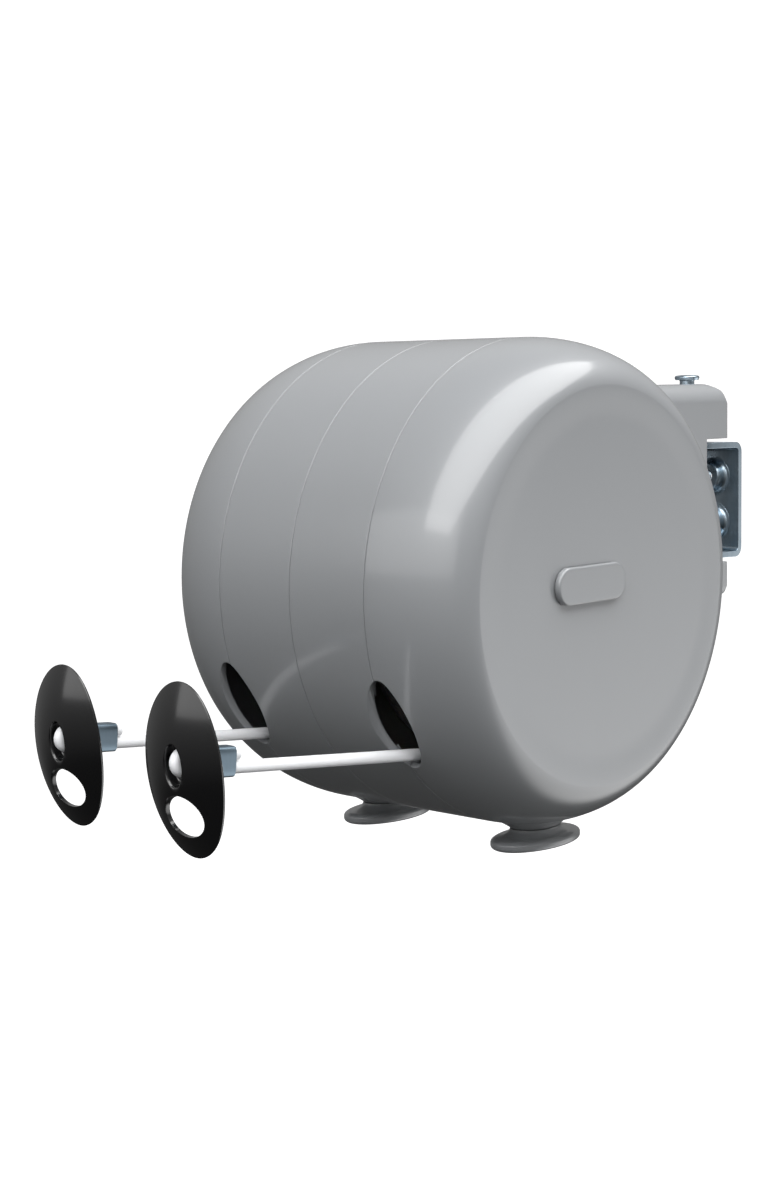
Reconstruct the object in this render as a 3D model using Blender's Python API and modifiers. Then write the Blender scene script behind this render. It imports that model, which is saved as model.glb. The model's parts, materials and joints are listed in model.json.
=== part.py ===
"""Wall-mounted retractable clothesline with two spring reels in one drum-shaped casing.

Metres, +Z up. The origin is the middle of the wall bracket's back face, and the wall is the plane y = 0.
The drum's axis lies along X, and both lines are pulled out towards -Y. Right is +X.
"""

import math

import bmesh
import bpy
from mathutils import Matrix, Vector

SIDES = {"right": 1, "left": -1}
GAP = 0.0003

# Wall bracket, hinge pin and hinge
PLATE = 0.0025
BRACKET_HALF_WIDTH = 0.0135
BRACKET_HALF_HEIGHT = 0.0254
BRACKET_BEND = 0.0045
PIN_Y = -0.0228
EAR_RADIUS = 0.0085
SCREW_BOSS_Z = 0.0101
SCREW_BOSS_RADIUS = 0.0088
SCREW_BOSS_HEIGHT = 0.0048
SCREW_HOLE_RADIUS = 0.0030
PIN_RADIUS = 0.0032
PIN_HEAD_RADIUS = 0.0054
PIN_BORE = PIN_RADIUS + GAP

# Casing
CASE_RADIUS = 0.0900
ROUND = 44
CASE_HALF_LENGTH = 0.0724
SEAM_X = 0.0358
CAP_DROP = 0.0193
FACE_RECESS = 0.0006
WALL = 0.0025
AXIS_Y = -0.1793
AXIS_Z = -0.0200
ARM_HALF_WIDTH = 0.0176
ARM_BACK_Y = PIN_Y - 0.0109
LUG_BACK_Y = PIN_Y + 0.0059
ARM_TOP = AXIS_Z + 0.0711
ARM_BOTTOM = AXIS_Z - 0.0221
UPPER_LUG_BOTTOM = AXIS_Z + 0.0475
LOWER_LUG_TOP = AXIS_Z - 0.0064
ARM_ROUND = 0.0085

# Line slots and cleats, in line with the reels
REEL_X = 0.0377
SLOT_ANGLE = math.radians(29.5)
SLOT_THROAT = (0.0071, 0.0186)
SLOT_BELL = (0.0858, 0.0044)
SLOT_MOUTH = (0.0112, 0.0212)
CLEAT_SIZE = (0.0127, 0.0219)
CLEAT_NECK = (0.0080, 0.0117)
CLEAT_NECK_TOP = -0.0918
CLEAT_FOOT = -0.0989
CLEAT_STEM = 0.0045
CLEAT_FLANGE = 0.0063

# Reels, measured from the drum's middle plane along its axis
AXLE_RADIUS = 0.0060
AXLE_HALF_LENGTH = 0.0687
DIVIDER_HALF = 0.0015
DIVIDER_HUB = 0.0100
FLANGE_RADIUS = 0.0670
FLANGE = 0.0022
HUB_RADIUS = 0.0470
HUB_WALL = 0.0025
REEL_INNER = 0.0124
REEL_OUTER = 0.0633
BUSH_RADIUS = 0.0080
BUSH_COLLAR = 0.0105
ARBOR_RADIUS = 0.0100
ARBOR_SPAN = (0.0180, 0.0560)
SPRING_SPAN = (0.0200, 0.0540)
SPRING_STRIP = 0.0006
SPRING_TURNS = 5
HUB_COLLAR = 0.0090
SHELL_SCREW_RADIUS = 0.0825
SHELL_SCREW_SHANK = 0.0017
SHELL_SCREW_HEAD = 0.0032
SHELL_SCREW_ANGLES = (65, 155, 245, 335)

# Lines and pull handles
LINE_DIAMETER = 0.0042
LINE_RADIUS = 0.0618
LINE_RISE = {"right": math.radians(6.0), "left": math.radians(5.5)}
HANDLE_OUT = {"right": 0.1684, "left": 0.1545}
LINE_START = 0.0450
LOOP_SPACING = 0.0052
TAIL_SPACING = 0.0043
FERRULE_SIZE = (0.0034, 0.0050)
FERRULE_LENGTH = 0.0112
FERRULE_BEHIND = 0.0191
TAIL_BEHIND = 0.0221
HANDLE_SIZE = (0.01765, 0.02835)
HANDLE_DOME = 0.0048
HANDLE_BOW = 0.0018
HANDLE_SHEET = 0.0026
HANDLE_TILT = math.radians(5.4)
HANDLE_DROP = 0.0004
FINGER_HOLE = (0.0093, 0.0067)
FINGER_HOLE_DROP = 0.0143
RECESS = (0.0042, 0.0068)

# Name badge, plain
BADGE_SIZE = (0.0398, 0.0135)
BADGE_THICKNESS = 0.0020
BADGE_OFFSET = (-0.0114, 0.0021)

PLASTIC = ("grey_plastic", (0.30, 0.32, 0.33, 1), 0.25, 0.0)
DARK_PLASTIC = ("black_plastic", (0.006, 0.006, 0.007, 1), 0.22, 0.0)
INNER_PLASTIC = ("natural_nylon", (0.62, 0.61, 0.57, 1), 0.45, 0.0)
ZINC = ("zinc_plated_steel", (0.46, 0.52, 0.56, 1), 0.32, 1.0)
SPRING_STEEL = ("spring_steel", (0.24, 0.26, 0.30, 1), 0.30, 1.0)
LINE_PVC = ("white_line", (0.80, 0.81, 0.83, 1), 0.40, 0.0)

collections = {}


def clear_scene():
    for old in list(bpy.data.objects):
        bpy.data.objects.remove(old, do_unlink=True)


def make_collections():
    for key, name in (("parts", "retractable_clothesline"), ("cutters", "cutters")):
        collections[key] = bpy.data.collections.new(name)
        bpy.context.scene.collection.children.link(collections[key])
    collections["cutters"].hide_render = True


def material(spec):
    name, colour, roughness, metallic = spec
    found = bpy.data.materials.get(name)
    if found:
        return found
    made = bpy.data.materials.new(name)
    made.use_nodes = True
    shader = made.node_tree.nodes["Principled BSDF"]
    shader.inputs["Base Color"].default_value = colour
    shader.inputs["Roughness"].default_value = roughness
    shader.inputs["Metallic"].default_value = metallic
    return made


def spin(axis, angle):
    return Matrix.Rotation(angle, 4, axis)


def shift(x, y, z):
    return Matrix.Translation((x, y, z))


def empty(name, place):
    marker = bpy.data.objects.new(name, None)
    marker.matrix_world = place
    collections["parts"].objects.link(marker)
    return marker


def add_object(name, mesh, place, finish=None, parent=None):
    """Adds a part when it has a finish, or else a cutter."""
    obj = bpy.data.objects.new(name, mesh)
    if finish:
        collections["parts"].objects.link(obj)
        mesh.materials.append(material(finish))
    else:
        collections["cutters"].objects.link(obj)
        obj.hide_render = True
        obj.display_type = "WIRE"
    if parent:
        obj.parent = parent
        obj.matrix_basis = parent.matrix_basis.inverted() @ place
    else:
        obj.matrix_basis = place
    return obj


def mesh_from(bm, name, smooth=True):
    mesh = bpy.data.meshes.new(name)
    bm.to_mesh(mesh)
    bm.free()
    if smooth and mesh.polygons:
        mesh.shade_smooth()
        mesh.set_sharp_from_angle(angle=math.radians(30))
    return mesh


def arc(centre, size, start, end, steps):
    """Points of an ellipse's arc in the profile's plane, angles in degrees from the radial direction."""
    points = []
    for i in range(steps + 1):
        angle = math.radians(start + (end - start) * i / steps)
        points.append((centre[0] + size[0] * math.cos(angle), centre[1] + size[1] * math.sin(angle)))
    return points


def turned(name, profile, place, finish=None, parent=None, closed=False, steps=64):
    """A profile of (radius, height) points, from the top down the outer side, turned about its own Z."""
    bm = bmesh.new()
    verts = [bm.verts.new((radius, 0, height)) for radius, height in profile]
    for first, second in zip(verts, verts[1:]):
        bm.edges.new((first, second))
    if closed:
        bm.edges.new((verts[-1], verts[0]))
    obj = add_object(name, mesh_from(bm, name, smooth=False), place, finish, parent)
    screw = obj.modifiers.new("Turn", "SCREW")
    screw.axis = "Z"
    screw.angle = math.tau
    screw.steps = steps
    screw.render_steps = steps
    screw.use_smooth_shade = True
    screw.use_merge_vertices = True
    screw.merge_threshold = 1e-6
    return obj


def ring(name, inner, outer, low, high, place, finish=None, parent=None, steps=32):
    profile = [(inner, high), (outer, high), (outer, low), (inner, low)]
    return turned(name, profile, place, finish, parent, closed=True, steps=steps)


def box(name, low, high, finish=None, parent=None):
    bm = bmesh.new()
    bmesh.ops.create_cube(bm, size=1)
    low, high = Vector(low), Vector(high)
    bmesh.ops.transform(bm, matrix=Matrix.Diagonal((*(high - low), 1)), verts=bm.verts)
    middle = shift(*((low + high) / 2))
    return add_object(name, mesh_from(bm, name, smooth=False), middle, finish, parent)


def cylinder(name, radius, length, place, finish=None, parent=None, steps=24):
    bm = bmesh.new()
    bmesh.ops.create_cone(
        bm, cap_ends=True, segments=steps, radius1=radius, radius2=radius, depth=length
    )
    return add_object(name, mesh_from(bm, name), place, finish, parent)


def oval_loft(name, rings, place, finish=None, parent=None, steps=32, power=2.0):
    """Ovals of (height, half width, half length) joined into one closed solid along its own Z."""
    bm = bmesh.new()
    loops = []
    for height, half_width, half_length in rings:
        loop = []
        for i in range(steps):
            angle = math.tau * i / steps
            across, along = math.cos(angle), math.sin(angle)
            x = half_width * math.copysign(abs(across) ** (2 / power), across)
            y = half_length * math.copysign(abs(along) ** (2 / power), along)
            loop.append(bm.verts.new((x, y, height)))
        loops.append(loop)
    for lower, upper in zip(loops, loops[1:]):
        for i in range(steps):
            j = (i + 1) % steps
            bm.faces.new((lower[i], lower[j], upper[j], upper[i]))
    bm.faces.new(loops[0])
    bm.faces.new(loops[-1])
    bmesh.ops.recalc_face_normals(bm, faces=bm.faces)
    return add_object(name, mesh_from(bm, name), place, finish, parent)


def flat_outline(name, points, thickness, place):
    """A cutter from a flat outline: a filled 2D curve, made a mesh with its caps welded."""
    curve = bpy.data.curves.new(name, "CURVE")
    curve.dimensions = "2D"
    curve.fill_mode = "BOTH"
    curve.extrude = thickness / 2
    spline = curve.splines.new("POLY")
    spline.points.add(len(points) - 1)
    for point, (x, y) in zip(spline.points, points):
        point.co = (x, y, 0, 1)
    spline.use_cyclic_u = True
    return curve_to_mesh(name, curve, place)


def curve_to_mesh(name, curve, place):
    source = bpy.data.objects.new(name + "_curve", curve)
    collections["cutters"].objects.link(source)
    bpy.context.view_layer.update()
    graph = bpy.context.evaluated_depsgraph_get()
    mesh = bpy.data.meshes.new_from_object(source.evaluated_get(graph))
    bpy.data.objects.remove(source)
    bm = bmesh.new()
    bm.from_mesh(mesh)
    bmesh.ops.remove_doubles(bm, verts=bm.verts, dist=1e-6)
    bmesh.ops.recalc_face_normals(bm, faces=bm.faces)
    bm.to_mesh(mesh)
    bm.free()
    return add_object(name, mesh, place)


def line_curve(name, points, radius):
    curve = bpy.data.curves.new(name, "CURVE")
    curve.dimensions = "3D"
    curve.bevel_depth = radius
    curve.bevel_resolution = 2
    curve.use_fill_caps = True
    spline = curve.splines.new("POLY")
    spline.points.add(len(points) - 1)
    for point, position in zip(spline.points, points):
        point.co = (*position, 1)
    return curve


def combine(target, other, operation):
    boolean = target.modifiers.new(other.name, "BOOLEAN")
    boolean.operation = operation
    boolean.object = other
    boolean.solver = "EXACT"


def cut(target, *cutters):
    for cutter in cutters:
        combine(target, cutter, "DIFFERENCE")


def join(target, *others):
    for other in others:
        combine(target, other, "UNION")


def round_edges(obj, width, segments, limit="ANGLE"):
    bevel = obj.modifiers.new("Round", "BEVEL")
    bevel.width = width
    bevel.segments = segments
    bevel.limit_method = limit


def drum_place(side=1):
    """The drum's middle, with local Z pointing out along the axis towards that side."""
    return shift(0, AXIS_Y, AXIS_Z) @ spin("Y", side * math.pi / 2)


# Bracket and hinge -------------------------------------------------------------------------------


def bracket_channel():
    """The bracket's U section, with round bends, as an outline in the Y-Z plane."""
    front = PIN_Y - EAR_RADIUS - 0.001
    outer, inner = BRACKET_BEND, BRACKET_BEND - PLATE
    half, edge = BRACKET_HALF_HEIGHT, -BRACKET_BEND
    points = [(front, half)]
    points += arc((edge, half - outer), (outer, outer), 90, 0, 5)
    points += arc((edge, -half + outer), (outer, outer), 0, -90, 5)
    points += [(front, -half), (front, -half + PLATE)]
    points += arc((edge, -half + outer), (inner, inner), -90, 0, 3)
    points += arc((edge, half - outer), (inner, inner), 0, 90, 3)
    points += [(front, half - PLATE)]
    return points


def ear_outline():
    """Plan of the bracket: full width at the wall, tapering to a tongue round the pin."""
    shoulder = -BRACKET_BEND
    points = [(BRACKET_HALF_WIDTH, 0.001), (BRACKET_HALF_WIDTH, shoulder)]
    points += arc((0, PIN_Y), (EAR_RADIUS, EAR_RADIUS), 0, -180, 12)
    points += [(-BRACKET_HALF_WIDTH, shoulder), (-BRACKET_HALF_WIDTH, 0.001)]
    return points


def build_bracket():
    turn_to_yz = Matrix(((0, 0, 1, 0), (1, 0, 0, 0), (0, 1, 0, 0), (0, 0, 0, 1)))
    channel = flat_outline("bracket_channel", bracket_channel(), 0.05, turn_to_yz)
    bracket = add_object("wall_bracket", channel.data.copy(), turn_to_yz, ZINC)
    combine(bracket, flat_outline("ear_plan", ear_outline(), 0.08, Matrix.Identity(4)), "INTERSECT")
    bpy.data.objects.remove(channel)
    for label, z in (("lower", -SCREW_BOSS_Z), ("upper", SCREW_BOSS_Z)):
        place = shift(0, 0, z) @ spin("X", math.pi / 2)
        boss, hollow = PLATE + SCREW_BOSS_HEIGHT, SCREW_BOSS_HEIGHT
        dome = [(0, boss), (0.0050, boss), (0.0062, boss - 0.0010), (0.0070, PLATE + 0.0018)]
        dome += [(SCREW_BOSS_RADIUS, PLATE + 0.0002), (SCREW_BOSS_RADIUS, PLATE - 0.0004)]
        dome.append((0, PLATE - 0.0004))
        join(bracket, turned(f"screw_boss_{label}", dome, place, steps=16))
        dish = [(0, hollow), (0.0042, hollow), (0.0050, hollow - 0.0018), (0.0056, -0.002), (0, -0.002)]
        hole = cylinder(f"screw_hole_{label}", SCREW_HOLE_RADIUS, 0.03, place, steps=12)
        cut(bracket, turned(f"screw_dish_{label}", dish, place, steps=16), hole)
    cut(bracket, cylinder("bracket_pin_bore", PIN_BORE, 0.08, shift(0, PIN_Y, 0), steps=20))


def build_hinge_pin():
    under_head = ARM_TOP + 0.0018
    tip = ARM_BOTTOM + 0.0020
    profile = [(0, under_head + 0.0022)]
    profile += arc((0, under_head + 0.0010), (PIN_HEAD_RADIUS, 0.0012), 60, 0, 2)
    profile += [(PIN_HEAD_RADIUS, under_head), (PIN_RADIUS, under_head)]
    profile += [(PIN_RADIUS, tip + 0.0015), (PIN_RADIUS - 0.0010, tip), (0, tip)]
    parent = empty("hinge_pin_axis", shift(0, PIN_Y, 0))
    turned("hinge_pin", profile, shift(0, PIN_Y, 0), ZINC, parent, steps=20)


def build_hinge_washer():
    low, high = BRACKET_HALF_HEIGHT + GAP, UPPER_LUG_BOTTOM - GAP
    ring("hinge_washer", PIN_BORE, 0.0080, low, high, shift(0, PIN_Y, 0), INNER_PLASTIC, steps=20)


# Casing ------------------------------------------------------------------------------------------


def cap_profile():
    """Domed end with a slightly sunk face, a lip that plugs into the shell and a socket for the axle."""
    top = CASE_HALF_LENGTH
    flat = CASE_RADIUS - CAP_DROP
    inner = CASE_RADIUS - WALL
    inner_top = top - FACE_RECESS - WALL
    seam = SEAM_X + GAP / 2
    profile = [(0, top - FACE_RECESS), (flat - 0.0045, top - FACE_RECESS)]
    profile.append((flat - 0.0012, top - 0.2 * FACE_RECESS))
    profile += arc((flat, SEAM_X), (CAP_DROP, top - SEAM_X), 86, 0, 7)[:-1]
    profile += [(CASE_RADIUS, seam), (inner - GAP, seam), (inner - GAP, SEAM_X - 0.0040)]
    profile += [(inner - 0.0024, SEAM_X - 0.0040), (inner - 0.0024, SEAM_X + 0.0030)]
    profile += arc((flat, SEAM_X), (CAP_DROP - WALL, inner_top - SEAM_X), 15, 90, 3)
    socket, bore = AXLE_HALF_LENGTH - 0.0035, AXLE_RADIUS + GAP
    profile += [(HUB_COLLAR, inner_top), (HUB_COLLAR, socket), (bore, socket)]
    return profile + [(bore, inner_top), (0, inner_top)]


def bore_solid(name, cover):
    """The drum's inside as a solid, leaving a wall of that thickness."""
    flat = CASE_RADIUS - CAP_DROP
    profile = [(0, CASE_HALF_LENGTH - cover)]
    profile += arc((flat, SEAM_X), (CAP_DROP - cover, CASE_HALF_LENGTH - cover - SEAM_X), 90, 0, 6)
    profile += [(radius, -height) for radius, height in reversed(profile)]
    return turned(name, profile, drum_place(), steps=ROUND)


def slab(name, low, high):
    return box(name, (low, -0.4, -0.2), (high, 0.1, 0.2))


def slot_cutter(name, side):
    """A bell-mouthed oval, square to the drum's surface where the line leaves."""
    place = shift(side * REEL_X, AXIS_Y, AXIS_Z) @ spin("X", math.pi / 2 + SLOT_ANGLE)
    wide = (SLOT_THROAT[0] + 0.0020, SLOT_THROAT[1] + 0.0043)
    rings = [(0.0720, *wide), (0.0849, *wide), (SLOT_BELL[0], *SLOT_THROAT)]
    for i in range(1, 5):
        angle = math.pi / 2 * i / 4
        flare = 1 - math.cos(angle)
        half_width = SLOT_THROAT[0] + (SLOT_MOUTH[0] - SLOT_THROAT[0]) * flare
        half_length = SLOT_THROAT[1] + (SLOT_MOUTH[1] - SLOT_THROAT[1]) * flare
        rings.append((SLOT_BELL[0] + SLOT_BELL[1] * math.sin(angle), half_width, half_length))
    rings.append((0.105, SLOT_MOUTH[0], SLOT_MOUTH[1]))
    return oval_loft(name, rings, place, steps=28)


def cleat_boss(name, side, low, high, core):
    """The casing's flare above a cleat, between low and high in X, with its top inside the wall."""
    rings = []
    for i in range(7):
        rise = 0.0082 * i / 6
        half_width = CLEAT_NECK[0] + 0.8 * rise + 50 * rise**2
        half_length = CLEAT_NECK[1] + 1.5 * rise + 100 * rise**2
        rings.append((CLEAT_NECK_TOP + rise, half_width, half_length))
    boss = oval_loft(name, rings, shift(side * REEL_X, AXIS_Y, AXIS_Z), steps=28)
    combine(boss, slab(name + "_slab", low, high), "INTERSECT")
    cut(boss, core)
    return boss


def stem_hole(name, side):
    place = shift(side * REEL_X, AXIS_Y, AXIS_Z - 0.092)
    return cylinder(name, CLEAT_STEM + GAP, 0.024, place, steps=20)


def flange_pocket(name, side):
    """Room in the cap's lip for the flange at the top of a cleat's stem."""
    place = shift(side * REEL_X, AXIS_Y, AXIS_Z - 0.0823)
    return cylinder(name, CLEAT_FLANGE + GAP, 0.010, place, steps=20)


def build_end_cap(name, side, swivel, core):
    cap = turned(f"end_cap_{name}", cap_profile(), drum_place(side), PLASTIC, swivel, steps=ROUND)
    low, high = sorted((side * (SEAM_X + GAP / 2), side * 0.2))
    join(cap, cleat_boss(f"cap_cleat_boss_{name}", side, low, high, core))
    cut(cap, slot_cutter(f"cap_slot_{name}", side), stem_hole(f"cap_stem_hole_{name}", side))
    cut(cap, flange_pocket(f"cap_flange_pocket_{name}", side))


def arm_half(name, side, core):
    """Half of the arm with the hinge lugs: its long edges are rounded and its upright ones nearly sharp."""
    low = Vector((-ARM_HALF_WIDTH, AXIS_Y + 0.035, ARM_BOTTOM))
    high = Vector((ARM_HALF_WIDTH, LUG_BACK_Y, ARM_TOP))
    arm = box(name, low, high)
    bm = bmesh.new()
    bm.from_mesh(arm.data)
    weight = bm.edges.layers.float.new("bevel_weight_edge")
    for edge in bm.edges:
        upright = abs((edge.verts[0].co - edge.verts[1].co).normalized().z) > 0.9
        low_edge = max(vert.co.z for vert in edge.verts) < AXIS_Z
        edge[weight] = 0.15 if upright else 0.62 if low_edge else 1.0
    bm.to_mesh(arm.data)
    bm.free()
    round_edges(arm, ARM_ROUND, 4, "WEIGHT")
    start, end = sorted((side * GAP / 2, side * 0.1))
    combine(arm, slab(name + "_slab", start, end), "INTERSECT")
    cut(arm, core)
    return arm


def screw_posts(name, side, length):
    posts = []
    for number, angle in enumerate(SHELL_SCREW_ANGLES, 1):
        y = SHELL_SCREW_RADIUS * math.cos(math.radians(angle))
        z = SHELL_SCREW_RADIUS * math.sin(math.radians(angle))
        middle = side * (DIVIDER_HALF + GAP + length / 2)
        place = shift(middle, AXIS_Y + y, AXIS_Z + z) @ spin("Y", math.pi / 2)
        posts.append(cylinder(f"{name}_{number}", 0.0058, length, place, steps=12))
    return posts


def build_centre_shell(name, side, swivel, core):
    inner = CASE_RADIUS - WALL
    low, high = GAP / 2, SEAM_X - GAP / 2
    place = drum_place(side)
    shell = ring(f"centre_shell_{name}", inner, CASE_RADIUS, low, high, place, PLASTIC, swivel, ROUND)
    start, end = sorted((side * GAP / 2, side * (SEAM_X - GAP / 2)))
    arm = arm_half(f"arm_{name}", side, core)
    boss = cleat_boss(f"shell_cleat_boss_{name}", side, start, end, core)
    posts = screw_posts(f"screw_post_{name}", side, 0.0120 if side > 0 else 0.0070)
    join(shell, arm, boss, *posts)
    notch_low, notch_high = (-0.03, ARM_BACK_Y, LOWER_LUG_TOP), (0.03, 0.02, UPPER_LUG_BOTTOM)
    notch = box(f"hinge_notch_{name}", notch_low, notch_high)
    wall_x = ARM_HALF_WIDTH - WALL
    cavity = box(
        f"arm_cavity_{name}",
        (-wall_x, AXIS_Y + 0.030, ARM_BOTTOM + WALL),
        (wall_x, ARM_BACK_Y - WALL, ARM_TOP - WALL - 0.002),
    )
    bore = cylinder(f"lug_pin_bore_{name}", PIN_BORE, 0.20, shift(0, PIN_Y, 0), steps=20)
    slot = slot_cutter(f"shell_slot_{name}", side)
    stem = stem_hole(f"shell_stem_hole_{name}", side)
    cut(shell, notch, cavity, bore, slot, stem)
    for number, angle in enumerate(SHELL_SCREW_ANGLES, 1):
        cut(shell, screw_hole(f"screw_pilot_{name}_{number}", angle, 0.019))


def screw_hole(name, angle, length):
    return cylinder(name, SHELL_SCREW_SHANK + GAP, length, shell_screw_place(angle), steps=8)


def shell_screw_place(angle):
    y = SHELL_SCREW_RADIUS * math.cos(math.radians(angle))
    z = SHELL_SCREW_RADIUS * math.sin(math.radians(angle))
    return shift(0, AXIS_Y + y, AXIS_Z + z) @ spin("Y", math.pi / 2)


def build_divider(swivel):
    outer = CASE_RADIUS - WALL - GAP
    bore = AXLE_RADIUS + GAP
    profile = [(bore, DIVIDER_HUB), (HUB_COLLAR, DIVIDER_HUB), (HUB_COLLAR, DIVIDER_HALF)]
    profile.append((outer, DIVIDER_HALF))
    profile += [(radius, -height) for radius, height in reversed(profile)]
    divider = turned("centre_divider", profile, drum_place(), INNER_PLASTIC, swivel, True, ROUND)
    for number, angle in enumerate(SHELL_SCREW_ANGLES, 1):
        cut(divider, screw_hole(f"divider_hole_{number}", angle, 0.01))


def build_shell_screws(swivel):
    """Pan-head screws from the left shell's posts through the divider into the right shell's posts."""
    head = DIVIDER_HALF + GAP + 0.0070 + GAP
    for number, angle in enumerate(SHELL_SCREW_ANGLES, 1):
        profile = [(0, head + 0.0022), (0.0022, head + 0.0022), (SHELL_SCREW_HEAD, head + 0.0010)]
        profile += [(SHELL_SCREW_HEAD, head), (SHELL_SCREW_SHANK, head), (SHELL_SCREW_SHANK, -0.0092)]
        profile.append((0, -0.0092))
        place = shell_screw_place(angle) @ spin("X", math.pi)
        turned(f"shell_screw_{number}", profile, place, ZINC, swivel, steps=10)


def build_badge(name, side, swivel):
    """A plain pill-shaped plate on the end face."""
    offset_y, offset_z = BADGE_OFFSET
    half_length, half_height = BADGE_SIZE[0] / 2, BADGE_SIZE[1] / 2
    straight = half_length - half_height
    round_end = arc((straight, 0), (half_height, half_height), -90, 90, 8)
    points = round_end + [(-x, -y) for x, y in round_end]
    face = CASE_HALF_LENGTH - FACE_RECESS + GAP
    middle = side * (face + BADGE_THICKNESS / 2)
    place = shift(middle, AXIS_Y + offset_y, AXIS_Z + offset_z)
    turn = Matrix(((0, 0, 1, 0), (1, 0, 0, 0), (0, 1, 0, 0), (0, 0, 0, 1)))
    outline = flat_outline(f"badge_outline_{name}", points, BADGE_THICKNESS, place @ turn)
    badge = add_object(f"end_badge_{name}", outline.data.copy(), place @ turn, PLASTIC, swivel)
    bpy.data.objects.remove(outline)
    round_edges(badge, 0.0007, 1)


def build_cleat(name, side, swivel):
    """Mushroom cleat that the line is jammed under. Its stem is trapped between the two shells."""
    place = shift(side * REEL_X, AXIS_Y, AXIS_Z)
    width, length = CLEAT_SIZE
    top = CLEAT_NECK_TOP - GAP
    shares = ((0, 0.86), (0.0005, 0.95), (0.0015, 1.0), (0.0027, 1.0), (0.0037, 0.94), (0.0043, 0.82))
    rings = [(CLEAT_FOOT + rise, share * width, share * length) for rise, share in shares]
    rings.append((CLEAT_FOOT + 0.0050, CLEAT_NECK[0] + 0.0008, CLEAT_NECK[1] + 0.0012))
    rings += [(top - 0.0006, CLEAT_NECK[0] - 0.0002, CLEAT_NECK[1] - 0.0002), (top, *CLEAT_NECK)]
    cleat = oval_loft(f"line_cleat_{name}", rings, place, PLASTIC, swivel, steps=28)
    stem_top = -(CASE_RADIUS - WALL) + 0.0029
    stem = [(0, stem_top), (CLEAT_FLANGE, stem_top), (CLEAT_FLANGE, stem_top - 0.0018)]
    stem += [(CLEAT_STEM, stem_top - 0.0018), (CLEAT_STEM, top - 0.001), (0, top - 0.001)]
    join(cleat, turned(f"cleat_stem_{name}", stem, place, steps=16))


def build_axle(swivel):
    chamfer = 0.0008
    end = AXLE_HALF_LENGTH
    profile = [(0, end), (AXLE_RADIUS - chamfer, end), (AXLE_RADIUS, end - chamfer)]
    profile += [(radius, -height) for radius, height in reversed(profile)]
    turned("axle", profile, drum_place(), ZINC, swivel, steps=20)
    low = REEL_OUTER + 2 * GAP
    for name, side in SIDES.items():
        place = drum_place(side)
        ring(f"axle_ring_{name}", AXLE_RADIUS + GAP, 0.0088, low, low + 0.0010, place, SPRING_STEEL, swivel, 16)


# Reels -------------------------------------------------------------------------------------------


def build_reel(name, side, swivel):
    place = drum_place(side)
    axis = empty(f"reel_axis_{name}", shift(side * REEL_X, AXIS_Y, AXIS_Z))
    build_reel_drum(name, place, axis)
    build_reel_flange(name, place, axis)
    build_bushes(name, place, axis)
    arbor, bore = f"spring_arbor_{name}", AXLE_RADIUS + GAP
    ring(arbor, bore, ARBOR_RADIUS, *ARBOR_SPAN, place, SPRING_STEEL, swivel, steps=16)
    build_mainspring(name, place, axis)
    low, high = REEL_INNER + FLANGE + GAP, REEL_OUTER - FLANGE - GAP
    outer = LINE_RADIUS - LINE_DIAMETER / 2 - 0.0005
    ring(f"wound_line_{name}", HUB_RADIUS + GAP, outer, low, high, place, LINE_PVC, axis, steps=32)


def build_reel_drum(name, place, axis):
    """Hub, web and inner flange in one moulding, open towards the end cap."""
    inner, web_end, hub_end = REEL_INNER, REEL_INNER + FLANGE, REEL_OUTER - FLANGE - GAP
    profile = [(HUB_RADIUS - HUB_WALL, hub_end), (HUB_RADIUS, hub_end), (HUB_RADIUS, web_end)]
    profile += [(FLANGE_RADIUS, web_end), (FLANGE_RADIUS, inner), (BUSH_RADIUS + GAP, inner)]
    profile += [(BUSH_RADIUS + GAP, web_end), (HUB_RADIUS - HUB_WALL, web_end)]
    turned(f"reel_drum_{name}", profile, place, INNER_PLASTIC, axis, closed=True, steps=32)


def build_reel_flange(name, place, axis):
    """Outer flange, which also closes the spring chamber."""
    outer, inner = REEL_OUTER, REEL_OUTER - FLANGE
    spigot = HUB_RADIUS - HUB_WALL - GAP
    bore = BUSH_RADIUS + GAP
    profile = [(bore, outer), (FLANGE_RADIUS, outer), (FLANGE_RADIUS, inner), (spigot, inner)]
    profile += [(spigot, inner - 0.0035), (spigot - 0.0020, inner - 0.0035), (spigot - 0.0020, inner)]
    profile.append((bore, inner))
    turned(f"reel_flange_{name}", profile, place, INNER_PLASTIC, axis, closed=True, steps=32)


def build_bushes(name, place, axis):
    """Flanged bushes pressed into both ends of a reel. Spans are (sleeve from, sleeve to, collar to)."""
    inner = (DIVIDER_HUB + GAP, REEL_INNER + FLANGE + 0.0008, REEL_INNER - GAP)
    outer = (REEL_OUTER - FLANGE - 0.0021, REEL_OUTER + GAP, REEL_OUTER - FLANGE - GAP)
    for label, (low, high, collar) in (("inner", inner), ("outer", outer)):
        profile = [(AXLE_RADIUS + GAP, high), (BUSH_RADIUS, high), (BUSH_RADIUS, collar)]
        profile += [(BUSH_COLLAR, collar), (BUSH_COLLAR, low), (AXLE_RADIUS + GAP, low)]
        turned(f"{label}_bush_{name}", profile, place, DARK_PLASTIC, axis, closed=True, steps=16)


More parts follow.
